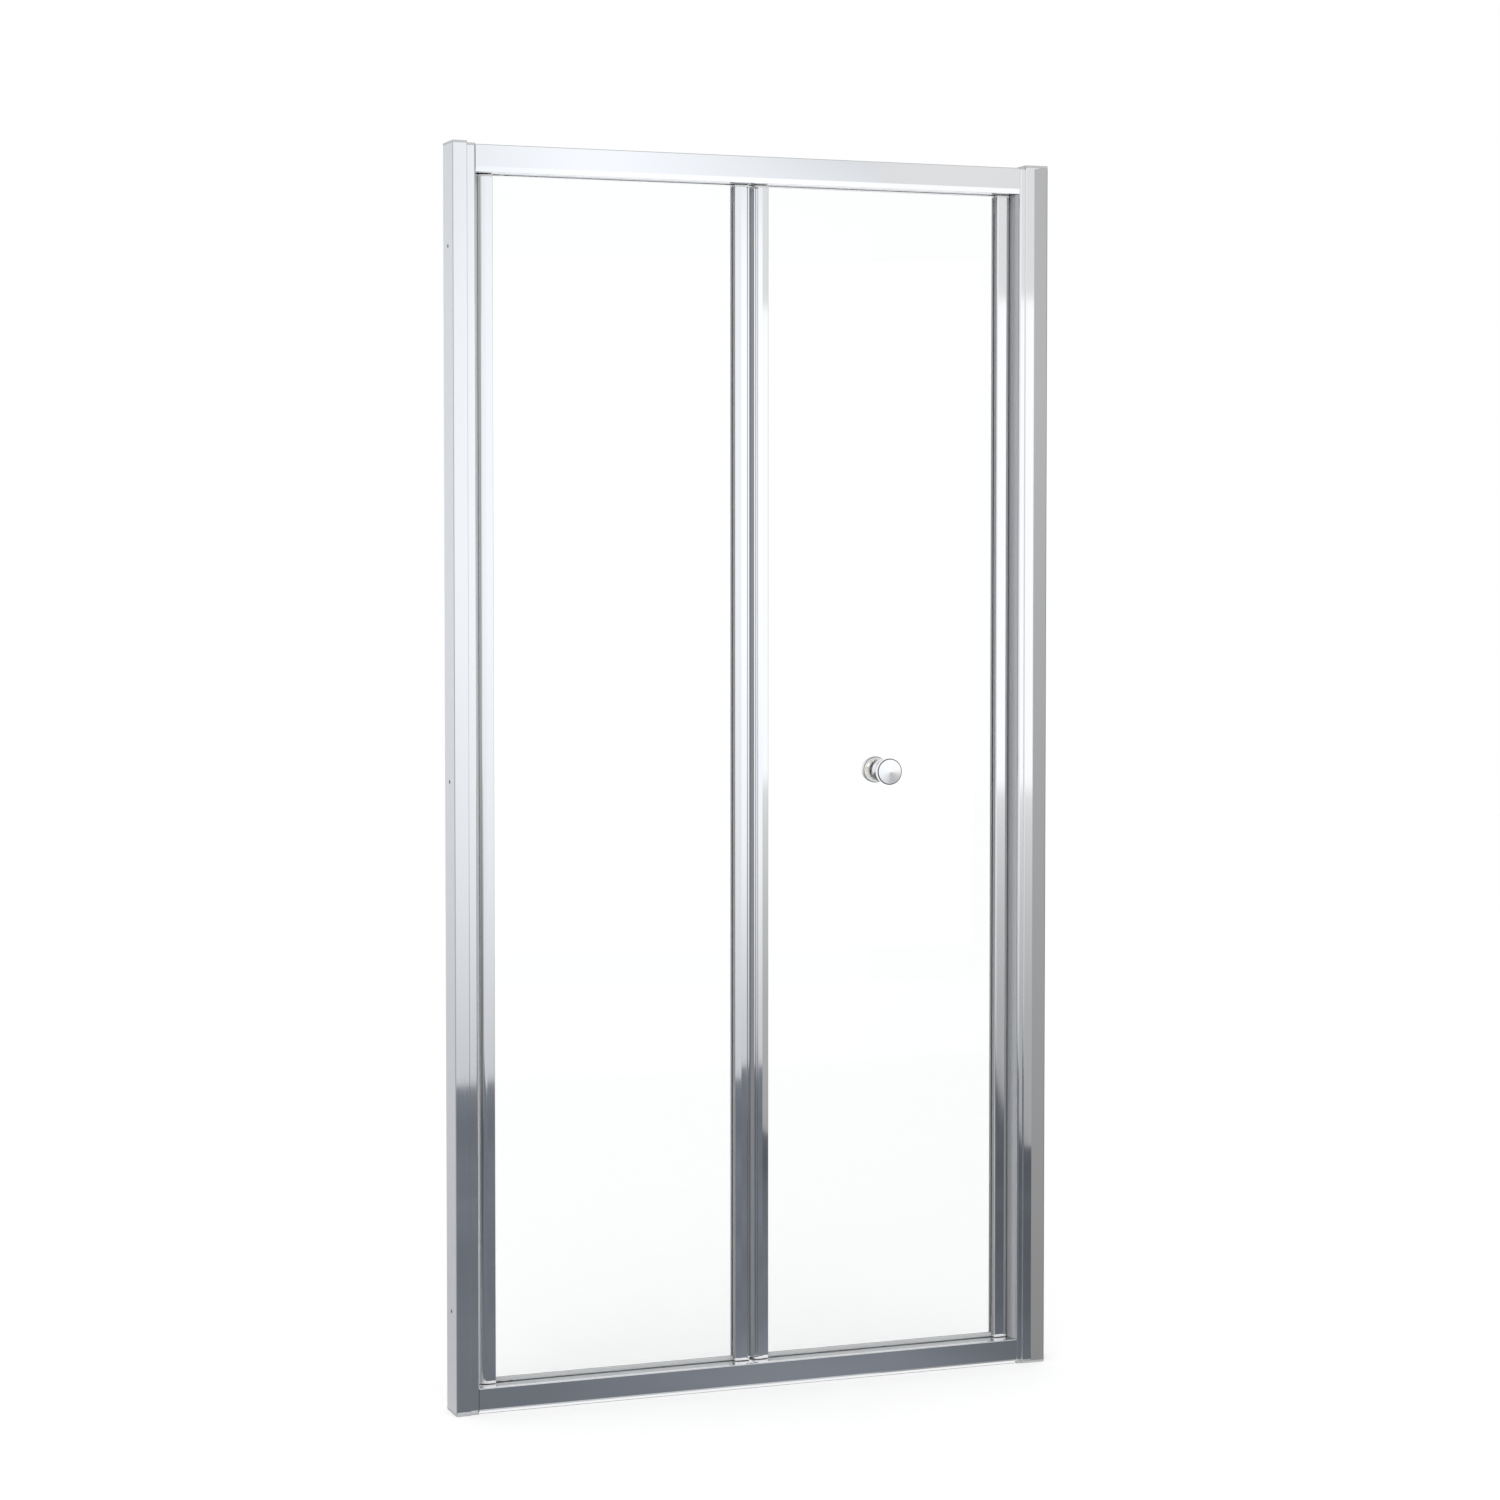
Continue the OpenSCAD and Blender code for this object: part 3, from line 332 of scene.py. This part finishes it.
# Radius of the rounded corners of each piece
uprights = {
    "wall_profile_left": 0.0011, "wall_profile_right": 0.0011, "jamb_profile_left": 0.0004,
    "jamb_profile_right": 0.0004, "leaf_1_pivot_stile": 0.0007, "leaf_1_hinge_stile": 0.0004,
    "leaf_2_hinge_stile": 0.0004, "leaf_2_closing_stile": 0.0007, "hinge_link_profile": 0.0003,
    "pivot_jamb_seal": 0.0006, "strike_seal": 0.0006, "hinge_gap_seal": 0.0006,
}
across = {
    "top_rail": 0.0004, "bottom_rail": 0.0004, "leaf_1_bottom_seal": 0.0003, "leaf_2_bottom_seal": 0.0003,
}
plates = {
    "wall_profile_caps": 0.0004, "jamb_caps": 0.0004, "leaf_1_glass": 0.0005, "leaf_2_glass": 0.0005,
    "leaf_1_glazing_gaskets": 0.0002, "leaf_2_glazing_gaskets": 0.0002,
    "leaf_1_pivot_end_blocks": 0.0003, "leaf_1_hinge_end_blocks": 0.0003,
    "leaf_2_hinge_end_blocks": 0.0003, "leaf_2_guide_end_blocks": 0.0003,
    "screw_cover_caps": 0.0008, "guide_stops": 0.0005,
    "top_pivot_block": 0.0005, "bottom_pivot_block": 0.0005,
}

# Faces that keep their mill finish: the outer sides of the wall profiles, and inside the rails' grooves
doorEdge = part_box("wall_profile_left")[0].x
mill = {"skin": 0.0005, "facing": 0.9, "grooveHalf": 0.0081}


def outerSide(side):  # -1 for the left wall profile, 1 for the right one
    return lambda spot, normal: side * normal.x > mill["facing"] and side * spot.x > -doorEdge - mill["skin"]


def inGroove(spot, normal):
    return abs(spot.y) < mill["grooveHalf"]


unpolished = {
    "wall_profile_left": outerSide(-1), "wall_profile_right": outerSide(1),
    "top_rail": inGroove, "bottom_rail": inGroove,
}
for name, edge in uprights.items():
    dress(name, edge, along="Z", rough=unpolished.get(name))
for name, edge in across.items():
    dress(name, edge, along="X", rough=unpolished.get(name))
for name, edge in plates.items():
    dress(name, edge)

# Screws in the ends of the stiles, sunk a little so that their heads turn free of the wiper
sunk = {"leaf_1_block_screws": 0.0001, "leaf_2_block_screws": 0.0001}
for name, depth in sunk.items():
    shape = mergedCopy(name)
    bmesh.ops.translate(shape, verts=shape.verts, vec=(0, -depth, 0))
    settle(shape, name)
print("dressed pieces:", len(uprights) + len(across) + len(plates) + len(sunk))

# Knobs, turned about the knob's axis
knob = {
    "head": 0.011, "neck": 0.011, "foot": 0.0145, "footDepth": 0.0025, "footEdge": 0.0003,
    "crown": 0.0014, "edge": 0.0012, "rimShadeBand": 0.0004,
    "faceSteps": 8, "edgeSteps": 5, "waistSteps": 14, "turns": 160,
}


# Points (radius, distance from the washer) from the tip of the shallow cone round to the foot
def knobProfile(length, radius):
    edge, crown = knob["edge"], knob["crown"]
    steps, waistSteps, faceSteps = knob["edgeSteps"], knob["waistSteps"], knob["faceSteps"]
    rim = length - crown
    share = 1 - knob["rimShadeBand"] / (radius - edge)
    points = [(0, length)]
    for i in range(1, faceSteps + 1):
        points.append(((radius - edge) * i * share / faceSteps, length - crown * i * share / faceSteps))
    quarter = [math.pi / 2 * i / steps for i in range(steps + 1)]
    points += [(radius - edge + edge * math.sin(a), rim - edge + edge * math.cos(a)) for a in quarter]
    back = length - knob["head"]
    points += [(radius - edge + edge * math.cos(a), back + edge - edge * math.sin(a)) for a in quarter]
    low = knob["footDepth"]
    half = (back - low) / 2
    for i in range(1, waistSteps):  # round waist
        a = math.pi * i / waistSteps
        points.append((knob["neck"] + half - half * math.sin(a), low + half + half * math.cos(a)))
    foot, cut = knob["foot"], knob["footEdge"]
    return points + [(foot - cut, low), (foot, low - cut), (foot, cut), (foot - cut, 0), (0, 0)]


def turnKnob(name, side):
    low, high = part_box(name)
    length = high.y - low.y
    radius = (high.x - low.x) / 2
    centre = Vector((knobAxis.x, high.y if side < 0 else low.y, knobAxis.z))
    shape = bmesh.new()
    chain = [shape.verts.new((r, side * d, 0)) for r, d in knobProfile(length, radius)]
    edges = [shape.edges.new(pair) for pair in zip(chain, chain[1:])]
    bmesh.ops.spin(shape, geom=chain + edges, cent=(0, 0, 0), axis=(0, 1, 0), dvec=(0, 0, 0),
                   angle=math.tau, steps=knob["turns"], use_merge=True)
    bmesh.ops.remove_doubles(shape, verts=shape.verts, dist=rounding["sliver"])
    bmesh.ops.recalc_face_normals(shape, faces=shape.faces)
    bmesh.ops.translate(shape, verts=shape.verts, vec=centre)
    for face in shape.faces:
        tilt = side * face.normal.y
        spot = face.calc_center_median() - centre
        if math.hypot(spot.x, spot.z) > radius - knob["edge"] - knob["rimShadeBand"] and abs(tilt) > 0.1:
            face.material_index = 2  # the rounded rim and the face's outer ring, painted dark as shade round the knob's outline
        elif side > 0 and tilt < -0.5:  # the back of the head, towards the glass: painted shade, a darker brownish tone
            face.material_index = 1
    settle(shape, name, [finishes["knobBackPaintedShade"], finishes["knobRimPaintedShade"]])


turnKnob("knob_outer", -1)
turnKnob("knob_inner", 1)
print("knobs turned")


# Floor, the cards that only the polished metal and the glass reflect, and the light
room = {
    "floor": 9.0, "floorTone": 0.93, "floorLift": 0.245, "ambient": 0.82, "low": -1.5, "high": 4.0,
    "front": -3.4, "left": -2.6, "bright": 1.62, "right": 3.2, "back": 1.4, "behind": 3.4,
    "cool": (0.98, 1.0, 1.035), "plain": (1.0, 1.0, 1.0), "blue": (0.91, 0.985, 1.12),
    "cardFoot": -0.5, "cardHead": 2.5, "lowCard": 0.002, "edgeGap": 0.0006,
}


def sheetOf(name, corners, material, cameraSees=False):  # seen by the camera, or else only in reflections
    shape = bmesh.new()
    shape.faces.new([shape.verts.new(c) for c in corners])
    mesh = bpy.data.meshes.new(name)
    shape.to_mesh(mesh)
    shape.free()
    mesh.materials.append(material)
    made = bpy.data.objects.new(name, mesh)
    scene.collection.objects.link(made)
    made.visible_camera = cameraSees
    made.visible_diffuse = cameraSees
    made.visible_shadow = cameraSees
    made.visible_transmission = cameraSees
    made.visible_glossy = not cameraSees


def upright(name, start, end, material, low=room["low"], high=room["high"]):  # a standing card
    sheetOf(name, [(*start, low), (*end, low), (*end, high), (*start, high)], material)


def flat(name, outline, height, material, cameraSees=False):
    sheetOf(name, [(*corner, height) for corner in outline], material, cameraSees)


def heightTone(card, stops):  # tones up a standing card, by shares of its height
    climb = card.band(card.axis("Z", card.coords()), room["cardFoot"], room["cardHead"], 0.0, 1.0)
    return card.ramp(climb, stops)


floorPaint = Finish("pale floor")
mottle = floorPaint.noise(3.0, floorPaint.coords())
pale = (room["floorTone"],) * 3
lift = floorPaint.tint(floorPaint.seenDirectly(), (0, 0, 0), (room["floorLift"],) * 3)
size = room["floor"]
flat("floor", [(-size, -size), (size, -size), (size, size), (-size, size)], 0.0,
     floorPaint.principled(
         Base_Color=floorPaint.tint(mottle, pale, scaled(pale, 0.985)), Roughness=0.9,
         Specular_IOR_Level=0.0, Emission_Color=lift, Emission_Strength=1.0), True)

# Light card in front, a little brighter to the right and darker at its foot
front = Finish("light card")
spot = front.coords()
sideways, height = front.axis("X", spot), front.axis("Z", spot)
tone = heightTone(front, [
    (0.0, 0.60), (0.167, 0.66), (0.3, 0.83), (0.39, 0.90), (0.5, 0.965), (0.6, 0.99), (0.67, 0.985),
    (0.8, 0.965), (0.9, 0.92)])
gain = 1.0 + front.band(sideways, 0.45, 0.8, 0.0, 0.16) * front.band(height, 0.05, 0.5, 0.0, 1.0)
shade = 1.0 - front.band(sideways, 0.9, 1.6, 0.0, 0.3) * front.band(height, 2.0, 2.3, 0.0, 1.0)
upright("frontCard", (room["left"], room["front"]), (room["bright"], room["front"]),
        front.glow(room["cool"], tone * gain * shade))

# Light card behind
behind = Finish("back card")
tone = heightTone(behind, [(0.0, 0.58), (0.2, 0.70), (0.35, 0.86), (0.55, 0.95), (0.8, 0.90), (1.0, 0.82)])
upright("backCard", (room["right"] + 1.0, room["behind"]), (room["left"] - 1.0, room["behind"]),
        behind.glow(room["cool"], tone))

# Bright card to the right of the front one, between grey cards at the sides
bright = Finish("bright card")
tone = heightTone(bright, [
    (0.0, 0.38), (0.177, 0.457), (0.267, 0.57), (0.333, 0.69), (0.367, 0.79), (0.38, 1.09), (0.805, 1.09),
    (0.812, 0.80), (1.0, 0.82)])
upright("brightCard", (room["bright"], room["front"]), (room["right"], room["front"]),
        bright.glow(room["plain"], tone))

grey = Finish("left card")
tone = grey.band(grey.axis("Z", grey.coords()), 0.0, 0.7, 0.5, 0.82)
upright("leftCard", (room["left"], room["back"]), (room["left"], room["front"]),
        grey.glow(room["cool"], tone))

dusk = Finish("right card")
tone = dusk.band(dusk.axis("Z", dusk.coords()), 0.0, 0.8, 0.2, 0.46)
upright("rightCard", (room["right"], room["front"]), (room["right"], room["back"]),
        dusk.glow(room["plain"], tone))

# Narrow cards close to both edges of the door, with a dark line at the right one
edgeCards = {
    "right": {"reach": (-0.0833, -0.0388), "tones": (0.275, 0.51)},
    "joint": {"reach": (-0.0388, -0.0310), "tones": (0.10, 0.14)},
    "left": {"reach": (-0.0833, -0.0330), "tones": (0.3, 0.5)},
}
for name, end in edgeCards.items():
    ending = Finish(name + " edge card")
    tone = ending.band(ending.axis("Z", ending.coords()), 0.0, 1.5, *end["tones"])
    edgeX = doorEdge - room["edgeGap"] if name == "left" else room["edgeGap"] - doorEdge
    upright(name + "EdgeCard", (edgeX, end["reach"][0]), (edgeX, end["reach"][1]),
            ending.glow(room["plain"], tone), -0.03, cadBox[1].z)

# Card above, for what faces up
above = Finish("top card")
tone = above.band(above.noise(1.5, above.coords()), 0.3, 0.7, 0.52, 0.58)
flat("topCard", [
    (room["left"], room["front"]), (room["right"], room["front"]), (room["right"], room["back"]),
    (room["left"], room["back"])], room["high"], above.glow(room["plain"], tone))

# Shade in the joint under the bottom rail
joint = Finish("joint shade")
shade = joint.tint(joint.noise(30.0, joint.coords()), (0.07, 0.07, 0.073), (0.10, 0.10, 0.103))
flat("footShade", [(doorEdge, -0.0290), (-doorEdge, -0.0290), (-doorEdge, 0.0110), (doorEdge, 0.0110)],
     0.0003, joint.principled(Base_Color=shade, Roughness=0.8, Specular_IOR_Level=0.0), True)

# Dark card low in front
dark = Finish("dark card")
spot = dark.coords()
vein = dark.noise(2.2, spot, detail=3.0)
sideways, away = dark.axis("X", spot), dark.axis("Y", spot)
near = dark.band(away, -0.35, -0.08, 0.0, 0.05) * dark.band(sideways, -0.4, 0.1, 0.0, 1.0)
toRight = dark.band(sideways + away * 0.42, 0.2, 0.45, 1.0, 0.62)  # the part that the right uprights show
tone = (dark.band(vein, 0.3, 0.7, 0.165, 0.205) + near) * toRight
flat("darkCard", [
    (room["left"], -0.05), (room["left"], -2.9), (1.72, -2.9), (1.24, -1.72), (2.2, -1.5), (2.2, -0.09),
    (0.4767, -0.09), (0.4578, -0.05)], room["lowCard"], dark.glow(room["blue"], tone))

# Lighter card low behind, which brightens towards the back card
rear = Finish("rear card")
spot = rear.coords()
tone = (rear.band(rear.noise(2.2, spot, detail=3.0), 0.3, 0.7, -0.025, 0.025)
        + rear.band(rear.axis("Y", spot), 0.0, 2.9, 0.25, 0.58))
flat("rearCard", [(doorEdge, 0.027), (4.0, 0.027), (4.0, 2.9), (-1.02, 2.9)], room["lowCard"],
     rear.glow(room["cool"], tone))

# World: white where it is seen, and a little softer as light
scene.world = bpy.data.worlds.new("studio")
scene.world.use_nodes = True
sky = Finish("studio", scene.world.node_tree)
skyTone = sky.tint(sky.seenDirectly(), (room["ambient"],) * 3, (1.0, 1.0, 1.0))
sky.node("ShaderNodeOutputWorld", {}, {
    "Surface": sky.node("ShaderNodeBackground", {}, {"Color": skyTone, "Strength": 1.0})})

# Soft lamps, turned towards the middle of the door
lamps = {
    "key": {"at": (-2.2, -3.0, 3.2), "size": (2.4, 1.6), "watts": 26.0},
    "fill": {"at": (0.8, -4.4, 1.1), "size": (3.0, 2.0), "watts": 24.0},
}
doorMiddle = Vector((0, 0, 0.9))
for name, lamp in lamps.items():
    light = bpy.data.lights.new(name, "AREA")
    light.energy = lamp["watts"]
    light.shape = "RECTANGLE"
    light.size, light.size_y = lamp["size"]
    holder = bpy.data.objects.new(name, light)
    holder.location = lamp["at"]
    holder.rotation_euler = (doorMiddle - holder.location).to_track_quat("-Z", "Y").to_euler()
    holder.visible_glossy = False
    scene.collection.objects.link(holder)

# Camera, at the viewing angle of the photograph
view = {"at": (-1.7694, -4.6749, 1.2636), "dip": 2.176, "turn": -20.7, "lens": 79.86, "shift": -0.05}
lens = bpy.data.cameras.new("camera")
lens.sensor_width = 36.0
lens.lens = view["lens"]
lens.shift_y = view["shift"]
lens.clip_start, lens.clip_end = 0.1, 60.0
camera = bpy.data.objects.new("camera", lens)
camera.location = view["at"]
camera.rotation_euler = (math.radians(90 - view["dip"]), 0, math.radians(view["turn"]))
scene.collection.objects.link(camera)
scene.camera = camera
scene.view_settings.view_transform = "Standard"
print("stage, light and camera ready")
